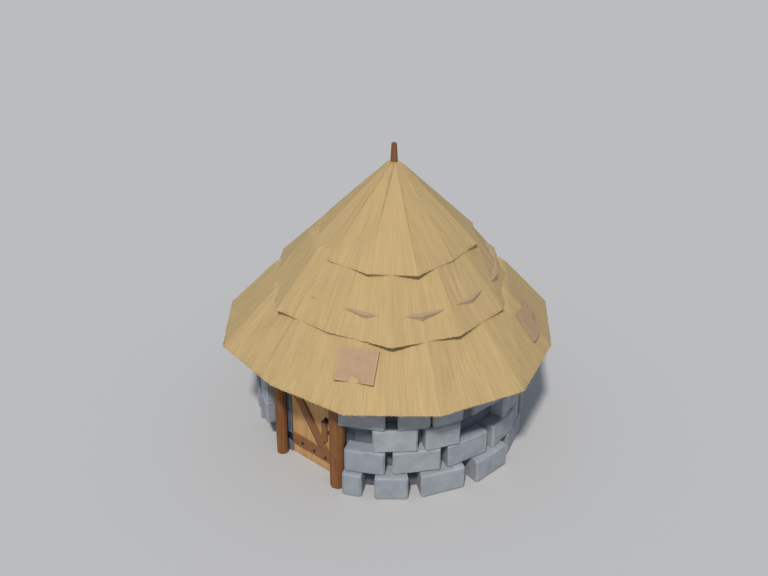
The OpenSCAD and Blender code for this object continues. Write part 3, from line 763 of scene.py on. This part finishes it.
under = {"poleR": 0.050, "drop": 0.139, "footR": 2.520, "bossR": 0.220, "tipGap": 0.015, "bow": 0.006,
         "peel": 0.0015, "knots": 5, "knotAt": (0.2, 3.0), "knotH": 0.004, "knotL": 0.03, "batten": 0.045,
         "battenEdge": 0.008, "battenFirst": 0.200, "battenStep": 0.450, "battenRings": 5, "battenCols": 132,
         "battenRough": ((0.15, 0.0018), (0.04, 0.0009))}
cord = {"r": 0.005, "turns": 3, "step": 2.1, "dip": 0.8,
        "topSide": [1.12, 0.8, 0, -0.8, -1.12], "topUp": [0.94, 1, 1, 1, 0.94]}
boss = {"bark": (0.0035, 0.003), "cracks": (0.9, 2.7, 4.4), "crackDepth": 0.012, "crackWide": 0.05,
        "ends": [0, 0, 0, 0, 0.004, 0.014], "edge": [0.012, 0.012, 0.012, 0.012, 0.004, 0],
        "inside": [0.25, 0.55, 0.85, 1, 1, 1]}
plate = {"radii": (2.020, 2.190), "heights": (2.100, 2.280), "timbers": 12, "first": 9, "edge": 0.010,
         "rough": ((0.15, 0.002), (0.05, 0.001))}
pitch = math.radians(roof["pitch"])


def liningZ(radius):
    # height of the thatch lining over the rafters: it climbs from the eave at the pitch of the roof
    return roof["eaveZ"] + (roof["liningR"] - radius) * math.tan(pitch)


def battenR(number):
    # radius of a batten ring: equal steps inwards from the eave
    return roof["liningR"] - under["battenFirst"] - number * under["battenStep"]


def inSection(out, z, down, off):
    # a place in the roof's section, moved down the slope and off it
    return (out + down * math.cos(pitch) + off * math.sin(pitch),
            z - down * math.sin(pitch) + off * math.cos(pitch))


def rafterPole(k):
    # a peeled pole, a little bent, with knots, its foot and tip cut plumb
    u = under
    angle = circle(28)
    side, rise = np.cos(angle), np.sin(angle)
    start = u["poleR"] * rise * math.tan(pitch)
    end = (u["footR"] - u["bossR"] + u["tipGap"] + u["poleR"] * rise * math.sin(pitch)) / math.cos(pitch)
    run = start + np.linspace(0, 1, 56)[:, None] * (end - start)
    places = zip(chance.uniform(*u["knotAt"], u["knots"]), chance.uniform(0, 6, u["knots"]))
    knots = sum(u["knotH"] * np.exp(-((run - at) / u["knotL"]) ** 2 - angleFrom(angle, turn) ** 2 / 0.3)
                for at, turn in places)
    grain = 0.0012 * softNoise(joined(side, rise, run * 0.8 + 3 * k), 0.5, k)
    radius = u["poleR"] - u["peel"] + grain + knots
    bend = u["bow"] * np.sin(run * 1.1 + k)
    out, z = inSection(u["footR"], liningZ(u["footR"]) - u["drop"], -run, radius * rise)
    return shell(aroundHut(out, radius * side + bend, z, roof["turn"] + 30 * k))


def twelveSides(radii, around, shift=0):
    # flat points on a ring with straight sides between twelve corners; around counts the corners
    corners = polar(radii, (roof["turn"] + 30 * np.arange(12) + shift)[:, None])
    k, share = np.floor(around).astype(int), (around % 1)[:, None, None]
    return corners[k] * (1 - share) + corners[(k + 1) % 12] * share


def battenRing(number):
    # a split pole bent round the rafters: a rounded square, straight from one rafter to the next
    corner, thick, cols = battenR(number), under["batten"], under["battenCols"]
    wide, deep = roundedOutline(thick, thick, under["battenEdge"], (3, 3), 2).T + thick / 2
    out, z = inSection(corner, liningZ(corner) - 0.0005, wide, -deep)
    points = raised(twelveSides(out, np.arange(cols) * 12 / cols), z)
    return shell(roughen(points, *under["battenRough"], 60 + number), capped=False)


def lashing(k, number):
    # loops of cord laid crosswise: each runs round the pole below and over the batten above, drawn
    # tight, so that its lower half is an ellipse and its upper half leans in to the batten
    corner, batten, pole, diagonal = battenR(number), under["batten"], under["poleR"], math.sqrt(2)
    out, z = inSection(corner, liningZ(corner), batten / 2, -batten - pole)
    below = np.linspace(math.pi, 2 * math.pi, 13)
    reach, shoulder, top = pole + cord["r"], diagonal * batten / 2 + cord["r"], batten + pole + cord["r"]
    wide = np.append(diagonal * reach * np.cos(below), shoulder * np.array(cord["topSide"]))
    tall = np.append(reach * np.sin(below), top * np.array(cord["topUp"]))
    loops = []
    for way in (-1, 1):
        for j in range(cord["turns"]):
            shift = way * (j - (cord["turns"] - 1) / 2) * cord["step"] * cord["r"]
            outHere, zHere = inSection(out, z, way * (wide - shift) / diagonal, tall)
            path = joined(outHere, (wide + shift) / diagonal, zHere)
            tangent = unit(np.roll(path, -1, 0) - np.roll(path, 1, 0))
            outer = path - path.mean(0)
            outer = unit(outer - tangent * np.sum(outer * tangent, 1, keepdims=True))
            loop = tube(path, outer, np.cross(tangent, outer), cord["r"], 5)
            turned = aroundHut(*np.moveaxis(loop, -1, 0), roof["turn"] + 30 * k)
            loops.append(shell(turned, capped=False, dip=cord["dip"]))
    return loops


def bossBlock():
    # a sawn length of trunk: a drum with worn edges, its side ribbed by bark lines and drying cracks
    angle = circle(96)
    low, high = (corner[2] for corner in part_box("roof_boss"))
    z, edge = endLevels(high - low, boss["ends"], boss["edge"], 8)[..., None]
    _, inside = endLevels(high - low, boss["ends"], boss["inside"], 8)[..., None]
    bark = boss["bark"][0] + boss["bark"][1] * softNoise(upright((0, 0), 1, angle, 0.3 * z), 0.09, 17)
    crack = sum(boss["crackDepth"] * np.clip(1 - np.abs(angleFrom(angle, at)) / boss["crackWide"], 0, 1)
                for at in boss["cracks"])
    return shell(upright((0, 0), (under["bossR"] - edge - bark - crack) * inside, angle, low + z))


makePiece("rafter_poles", [rafterPole(k) for k in range(12)], "rafter_pole", ["rafters"], crease=40)
for number in range(under["battenRings"]):
    nodes = ["batten_ring_%d" % (number + 1)]
    makePiece("split_batten_%d" % (number + 1), [battenRing(number)], "batten", nodes)
cords = [loop for number in range(under["battenRings"]) for k in range(12) for loop in lashing(k, number)]
makePiece("frame_lashings", cords, "hoop", crease=60)
makePiece("boss_block", [bossBlock()], "hewn_timber", ["roof_boss"], crease=40)
starts = [plate["first"] + 360 / plate["timbers"] * k for k in range(plate["timbers"])]
timbers = [arcBar(plate["heights"], (start, start + 360 / plate["timbers"]), plate["radii"], plate["edge"],
                  plate["rough"], 70 + k) for k, start in enumerate(starts)]
makePiece("wall_head_timbers", timbers, "hewn_timber", ["wall_plate"])
print("roof frame ready")

# Posts and lintel

post = {"top": 1.870, "around": 64, "step": 0.03, "flats": 8, "flatness": 0.55, "taper": 0.985,
        "peel": 0.002, "sway": 0.002, "endBevel": 0.003, "crackDepth": 0.006, "crackWide": 0.07,
        "cracks": [(0.7, 0.25, 1.1), (3.9, 0.8, 1.7), (5.1, 0.05, 0.75)],
        "left": (-0.645, -2.192, 0.108, 3, 0.30), "right": (0.747, -2.194, 0.143, 11, 0.05)}
lintel = {"x": (-0.799, 0.901), "y": (-2.250, -1.990), "z": (1.870, 2.100), "ways": "xyz", "edge": 0.014,
          "step": 0.04, "rough": 0.0025, "seed": 21, "counts": (9, 8)}


def logPost(x, y, radius, seed, turn):
    # a round log hewn to eight soft flats, with long grain ridges and three drying cracks
    p = post
    angle, top, bevel = circle(p["around"]), p["top"], p["endBevel"]
    z = np.concatenate([[0, 0.004], np.arange(0.02, top - 0.01, p["step"]), [top - bevel, top]])[:, None]
    form = radius * (p["flatness"] * flatSided(angle + turn, p["flats"]) + (1 - p["flatness"]))
    bark = upright((0, 0), 0.9, angle, z * 0.07)
    grain = 0.0022 * softNoise(bark, 0.07, seed) + 0.0012 * softNoise(bark, 0.025, seed + 5)
    crack = 0
    for where, low, high in p["cracks"]:
        line = where + turn + 0.10 * np.sin(z * 3 + where + turn)
        fade = np.clip(np.minimum(z - low, high - z) / 0.12, 0, 1)
        crack = crack + fade * np.clip(1 - np.abs(angleFrom(angle, line)) / p["crackWide"], 0, 1)
    end = np.interp(np.minimum(z, top - z), [0, bevel], [-bevel, 0])
    taper = np.interp(z, [0, top], [1, p["taper"]])
    r = form * taper + grain - p["crackDepth"] * crack - p["peel"] + end
    place = x + p["sway"] * np.sin(z * 2.1 + seed), y + p["sway"] * np.cos(z * 1.7 + seed)
    return shell(upright(place, r, angle, z))


for side in ("left", "right"):
    makePiece("log_%s" % side, [logPost(*post[side])], "post_log", ["post_%s" % side], crease=24)
makePiece("hewn_lintel", [boxBar(**lintel)], "hewn_timber", ["lintel"], skin=lintelSkin)
print("posts ready")

# Door

door = {"left": -0.490, "front": -2.060, "boardY": (-2.060, -2.015), "boardZ": (0.012, 1.850),
        "planks": [0.132, 0.148, 0.139, 0.143, 0.135, 0.147, 0.136], "plankEdge": 0.005, "plankGap": 0.0005,
        "plankInset": 0.001, "railX": (-0.470, 0.490), "railY": (-2.100, -2.060), "railH": 0.210,
        "rails": {"low": (0.235, 51), "high": (1.440, 57)}, "railEdge": 0.006,
        "braceLow": (0.310, 0.445), "braceHigh": (-0.400, 1.440), "braceW": 0.180}
grip = {"x": 0.325, "r": 0.065, "low": 0.655, "high": 1.055, "faces": 10, "flatness": 0.6, "shrink": 0.985,
        "ends": [0, 0.004, 0.014], "endSizes": [0.85, 0.94, 1], "rough": ((0.09, 0.0012), (0.03, 0.0006))}
bolt = {"places": [(-0.213, 0.098), (0.074, 0.083), (0.351, 0.070)],
        "head": [(0, 0.03105), (0.003, 0.03105), (0.004, 0.027), (0.00805, 0.02646), (0.0138, 0.02295),
                 (0.01955, 0.01485), (0.023, 0.00405)]}

x, planks = door["left"], []
for number, wide in enumerate(door["planks"]):
    across = drawnIn((x, x + wide), door["plankGap"] / 2)
    through = drawnIn(door["boardY"], door["plankInset"] * (number % 2))
    planks.append(boxBar(across, through, door["boardZ"], "zxy", door["plankEdge"], step=0.06, rough=0.0009,
                         seed=40 + number, counts=(7, 3), bend=2))
    x += wide
makePiece("door_planks", planks, "door_board", ["door_boards"], "door")

bolts = []
for name, (low, seed) in door["rails"].items():
    rail = boxBar(door["railX"], door["railY"], (low, low + door["railH"]), "xzy", door["railEdge"],
                  step=0.05, rough=0.0014, seed=seed, counts=(8, 4))
    makePiece("rail_board_%s" % name, [rail], "door_rail", ["door_rail_%s" % name], "door")
    bolts += studs(bolt["places"], (0, door["railY"][0] + 0.001, low), bolt["head"], 16)

(lowX, lowZ), (highX, highZ), (front, back) = door["braceLow"], door["braceHigh"], door["railY"]
lean = np.array([highX - lowX, 0, highZ - lowZ])
level = door["braceW"] / lean[2] * float(np.linalg.norm(lean))
brace = bar((lowX, (front + back) / 2, lowZ), lean, (1, 0, 0), (0, 1, 0), level, back - front,
            door["railEdge"], step=0.05, rough=0.0012, seed=63, counts=(8, 4))
brace[0][:, 0] = np.maximum(brace[0][:, 0], door["left"])
makePiece("brace_board", [brace], "door_rail", ["door_brace"], "door", braceSkin)


def gripTimber():
    # a half-round timber: its outline is a half circle with five flats, closed by the board face
    g = grip
    angle = np.radians(np.linspace(0, 180, 41))
    r = g["r"] * (g["flatness"] * flatSided(angle, g["faces"]) + 1 - g["flatness"])
    back = joined(np.linspace(-0.85, 0.85, 8) * g["r"], -0.0005)
    outline = np.vstack([joined(r * np.cos(angle), -r * np.sin(angle)), back])
    z, scale = endLevels(g["high"] - g["low"], g["ends"], g["endSizes"], 16)[..., None]
    points = raised(outline * (scale * g["shrink"])[..., None] + (g["x"], door["front"]), z + g["low"])
    return shell(roughen(points, *g["rough"], 71))


makePiece("grip_timber", [gripTimber()], "door_rail", ["door_grip"], "door", gripSkin, crease=24)
makePiece("rail_bolts", bolts, "iron", body="door")

# Iron

latch = {"x": (0.325, 0.455), "y": (-2.068, -2.060), "z": (1.0553, 1.1503), "caseSide": 0.012,
         "caseEnd": 0.015, "caseY": (-2.088, -2.062), "caseEdge": 0.006,
         "knobPlace": (0.370, -2.078, 1.1028),
         "knob": [(0, 0.016), (0.006, 0.015), (0.009, 0.025), (0.014, 0.035), (0.022, 0.040), (0.031, 0.036),
                  (0.037, 0.025), (0.040, 0.008)]}
staple = {"x": (0.3903, 0.4553), "y": (-2.066, -2.060), "z": (0.810, 0.900),
          "loopPlace": (0.4228, -2.064, 0.855), "loopOut": 0.020, "loopHalf": 0.028, "wireR": 0.0055}
hinge = {"x": -0.495, "y": -2.097, "lows": {"low": 0.270, "high": 1.475}, "half": 0.070, "thick": 0.009,
         "pinR": 0.009, "knuckleR": 0.017, "wallL": 0.108, "doorL": 0.200, "wrapY": (-2.0955, -2.0595),
         "rivets": [(0.010, 0.030), (0.010, 0.110)],
         "rivet": [(0, 0.006), (0.002, 0.006), (0.004, 0.004), (0.005, 0.001)],
         "nails": [(0.022, 0.030), (0.062, 0.052), (0.022, 0.110)],
         "nail": [(0, 0.009), (0.003, 0.009), (0.006, 0.006), (0.007, 0.001)]}


def ironBar(x, y, z, seed, inset=0.0, ways="xzy", counts=(6, 2), rough=0.0002):
    # a forged flat bar in a box, drawn in by the inset at its ends, its top and its foot
    return boxBar(drawnIn(x, inset), y, drawnIn(z, inset), ways, 0.002, step=0.02, rough=rough, seed=seed,
                  counts=counts, bend=1)


def latchParts():
    # a back plate, a case with rounded edges and a round knob on a short neck
    w = latch
    plate = ironBar(w["x"], w["y"], w["z"], 81, inset=0.002, rough=0.0004)
    case = boxBar(drawnIn(w["x"], w["caseSide"]), w["caseY"], drawnIn(w["z"], w["caseEnd"]), "xzy",
                  w["caseEdge"], step=0.015, rough=0.0005, seed=83, counts=(5, 3), bend=2)
    return [plate, case, turned(w["knobPlace"], (0, -1, 0), w["knob"], 20)]


def stapleParts():
    # a plate with a bent loop on it
    w, (x, y, z) = staple, staple["loopPlace"]
    plate = ironBar(w["x"], w["y"], w["z"], 85, inset=0.001, rough=0.0003)
    angle = np.linspace(-0.35, math.pi + 0.35, 22)
    path = joined(x, y - w["loopOut"] * np.clip(np.sin(angle), -0.1, 1), z + w["loopHalf"] * np.cos(angle))
    tangent, sideways = unit(np.gradient(path, axis=0)), np.array([[1.0, 0, 0]])
    return [plate, shell(tube(path, sideways, np.cross(tangent, sideways), w["wireR"], 10))]


def knuckle(low, shoulder, top):
    # a rolled iron eye round the pin, a little narrower at both ends
    r = hinge["knuckleR"]
    profile = [(0, r - 0.002), (0.002, r), (shoulder, r), (top, r - 0.002)]
    return turned((hinge["x"], hinge["y"], low), (0, 0, 1), profile, 24)


def strapOnDoor(low):
    # the tail that runs on behind the rail, the upper knuckle with its wrap, and two rivets
    w, left, half, high = hinge, door["left"], hinge["half"], low + 2 * hinge["half"]
    side, face = w["x"] + w["pinR"] + 0.003, door["front"] - w["thick"]
    tail = ironBar((left, left + w["doorL"]), drawnIn((face, door["front"]), 0.0002), (low, high), 87,
                   inset=0.0005, counts=(8, 2))
    wrap = ironBar((side, side + w["thick"]), w["wrapY"], drawnIn((low + half, high), 0.001), 89,
                   ways="zxy", counts=(2, 5))
    rivets = studs(w["rivets"], (left, face + 0.001, low), w["rivet"], 10)
    return [tail, knuckle(low + half + 0.001, half - 0.004, half - 0.002), wrap] + rivets


def leafOnWall(low):
    # the leaf nailed to the stone, the lower knuckle and the pin that carries the door
    w, half, stone = hinge, hinge["half"], -wall["flatY"]
    left, across = w["x"] - w["wallL"], (stone - w["thick"], stone)
    lower = ironBar((left, w["x"]), across, (low + 0.0005, low + half - 0.0005), 91)
    upper = ironBar((left, w["x"] - w["knuckleR"] - 0.008), across, (low + half, low + 2 * half), 93)
    pin = [(0, w["pinR"] - 0.001), (2 * half - 0.003, w["pinR"] - 0.0002), (2 * half, w["pinR"] - 0.003)]
    nails = studs(w["nails"], (left, across[0] + 0.001, low), w["nail"], 12)
    return [lower, upper, knuckle(low, half - 0.003, half - 0.0006),
            turned((w["x"], w["y"], low), (0, 0, 1), pin, 16)] + nails


makePiece("latch_with_knob", latchParts(), "iron", ["door_latch"], "door")
makePiece("staple_loop", stapleParts(), "iron", ["door_staple"], "door")
for name, low in hinge["lows"].items():
    makePiece("strap_iron_%s" % name, strapOnDoor(low), "iron", ["strap_%s" % name], "door")
    makePiece("hinge_iron_%s" % name, leafOnWall(low), "iron", ["hinge_%s" % name])
print("door ready")

# Binding hoop and repair mats

hoop = {"middle": 3.195, "high": 0.140, "thick": 0.120, "edge": 0.014, "cols": 1248,
        "cords": 3, "relief": 0.009, "twist": 0.062,
        "out": [0.034, 0.078, 0.130, 0.080, 0.124, 0.124, 0.074, 0.064, 0.074, 0.024, -0.006, -0.016],
        "shift": [0, 2.6, -0.4] + [0] * 9, "soften": [0.004, 0.006, 0.036, 0.006] + [0.010] * 8,
        "softenL": [0.08, 0.07, 0.20, 0.08] + [0.10] * 8}


def hoopBand():
    # a rounded bar carried round twelve straight sides; its face is three cords, one above the
    # other, each a half round with slanting twists that change their hand from cord to cord
    h, tier = hoop, tiers["thatch_middle"]
    share = (h["middle"] + h["high"] / 2 - tier["footZ"]) / (tier["headZ"] - tier["footZ"])
    straight = np.array(tier["corners"]) * (1 - share) + np.array(tier["heads"]) * share
    corners = (straight + np.roll(straight, 1)) / 2 * math.cos(math.radians(15)) + np.array(h["out"])
    around = np.arange(h["cols"]) * 12 / h["cols"]
    outline = roundedOutline(h["high"], h["thick"], h["edge"], (28, 3), 2)
    outline = outline[(outline[:, 1] < h["thick"] / 2 - 0.001) | (np.arange(len(outline)) % 7 == 0)]
    up, inwards = outline[:, 0], outline[:, 1] + h["thick"] / 2
    flat = twelveSides(corners[:, None] - inwards, around, h["shift"])
    length = around[:, None] * float(corners.mean()) * math.radians(30)
    level = np.clip((up / h["high"] + 0.5) * h["cords"], 0, h["cords"] - 0.001)
    part, hand = level % 1, np.where(np.floor(level) % 2 == 0, 1, -1)
    swell = np.sqrt(np.clip(1 - (2 * part - 1) ** 2, 0, 1))
    twist = 0.5 + 0.5 * np.cos(2 * math.pi * (length / h["twist"] + hand * 0.7 * part))
    ridge = 0.6 * swell + 0.4 * swell * np.sqrt(twist)
    face = np.clip(1 - inwards / (h["edge"] * 1.2), 0, 1)
    s, nearest = around % 1, np.round(around).astype(int) % 12
    fade = np.exp(-(np.minimum(s, 1 - s) / np.array(h["softenL"])[nearest]) ** 2)
    lift = h["relief"] * (ridge - 0.8) * face - (np.array(h["soften"])[nearest] * fade)[:, None]
    flat = flat + polar(lift, np.degrees(np.arctan2(flat[..., 0], -flat[..., 1])))
    # painted shade: the grooves between cords and twists get a lower value, which the fibre finish paints
    # darker
    return shell(raised(flat, h["middle"] + up), capped=False, dip=1 + (ridge - 1) * face)


makePiece("plaited_hoop", [hoopBand()], "hoop", ["binding_hoop"], crease=50)

mats = {"wide": 0.665, "long": 0.555, "proud": 0.014, "deep": 0.130, "border": 0.022, "weave": 0.036,
        "lift": 0.0030, "cord": 0.004, "cordTwist": 0.02, "wander": 0.003,
        "patch_front": {"corner": 1, "up": 0.610, "shift": 0.060, "tilt": 0,
                        "tuckAt": 0.000, "tuckW": 0.100, "tuckH": 0.150, "tuckDeep": 0.055},
        "patch_side": {"corner": 4, "up": 0.465, "shift": -0.060, "tilt": -9,
                       "tuckAt": 0.370, "tuckW": 0.190, "tuckH": 0.330, "tuckDeep": 0.125}}


def strawMat(corner, up, shift, tilt, tuckAt, tuckW, tuckH, tuckDeep):
    # a flat mat over a ridge: cords cross over and under each other as a chequer of sine waves,
    # a thicker cord runs round the edge, and the underside lies inside the thatch
    m, tier = mats, tiers["thatch_lower"]
    halfW, halfL, wave = m["wide"] / 2, m["long"] / 2, math.pi / m["weave"]
    v = np.concatenate([[-halfL], np.linspace(-halfL, halfL, 96), [halfL]])[:, None]
    uu, vv = np.broadcast_arrays(np.linspace(-halfW, halfW, 112), v)
    edge = np.minimum(halfW - np.abs(uu), halfL - np.abs(vv))
    cross = np.sin(uu * wave) * np.sin(vv * wave)
    ribs = 0.4 * np.abs(np.sin(np.where(cross > 0, uu, vv) * 4 * wave))
    woven = m["lift"] * (np.sqrt(np.abs(cross)) + ribs - 1.2)
    bulge = np.sqrt(np.clip(1 - ((edge - m["border"] / 2) / (m["border"] / 2)) ** 2, 0, 1))
    border = m["cord"] * bulge * (1 + 0.2 * np.sin((uu + vv) * 2 * math.pi / m["cordTwist"])) - 0.003
    top = np.where(edge < m["border"], border, woven)
    # a part of the lower edge is tucked under the straw: a dent that fades to both sides and upwards
    dent = tuckDeep * np.exp(-((uu - tuckAt) / tuckW) ** 4) * np.clip((-halfL + tuckH - vv) / tuckH, 0, 1)
    uu = uu + m["wander"] * softNoise(joined(uu, vv, 0.0), 0.10, 5 + corner)
    vv = vv + m["wander"] * softNoise(joined(uu, vv, 0.0), 0.10, 9 + corner)
    low = np.full((len(v), 9), -m["deep"])
    u = np.hstack([uu, np.broadcast_to(np.linspace(halfW, -halfW, 9), low.shape)])
    v = np.hstack([vv, np.broadcast_to(v, low.shape)])
    h = np.hstack([m["proud"] + top - dent, low])
    # painted shade: the lower parts of the weave and the sunken underside get lower values, which the fibre
    # finish paints darker
    dip = np.hstack([np.clip(0.5 + top / 0.006, 0, 1), np.zeros(low.shape)])
    t = math.radians(tilt)
    u, v = u * math.cos(t) - v * math.sin(t) + shift, u * math.sin(t) + v * math.cos(t)
    # the mat lies on the slope of its ridge
    footR, headR = tier["corners"][corner], tier["heads"][corner]
    lean = math.atan2(tier["headZ"] - tier["footZ"], footR - headR)
    out = footR - up / math.tan(lean) - v * math.cos(lean) + h * math.sin(lean)
    z = tier["footZ"] + up + v * math.sin(lean) + h * math.cos(lean)
    return shell(aroundHut(out, u, z, roof["turn"] + 30 * corner), dip=dip)


for name in ("patch_front", "patch_side"):
    makePiece("straw_mat_%s" % name[6:], [strawMat(**mats[name])], "patch_mat", [name], crease=60)

# Apex pole

pole = {"place": (0.035, 0.030), "collar": 5.140, "top": 5.460, "r": 0.064, "tipR": 0.046, "flats": 8,
        "tipLevels": [0.012, 0.004, 0], "tipDraw": [0, 0.004, 0.013]}


def apexTimber():
    # a tapered pole with soft flats; it starts inside the thatch and ends in a worn, rounded tip
    p = pole
    foot, collar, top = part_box("apex_pole")[0][2], p["collar"], p["top"]
    tip = [top - level for level in p["tipLevels"]]
    angle = circle(48)
    z = np.concatenate([[foot, foot + 0.004], np.linspace(foot + 0.1, collar, 10),
                        np.linspace(collar + 0.02, tip[0], 14), tip[1:]])[:, None]
    r = np.interp(z, [collar] + tip, [p["r"]] + [p["tipR"] - draw for draw in p["tipDraw"]])
    r = r * (0.5 * flatSided(angle + 0.2, p["flats"]) + 0.5)
    r = r + 0.0012 * softNoise(upright((0, 0), 0.6, angle, z * 0.1), 0.06, 3)
    return shell(upright(p["place"], r, angle, z))


makePiece("apex_timber", [apexTimber()], "apex_wood", ["apex_pole"], crease=24)
print("roof fittings ready")
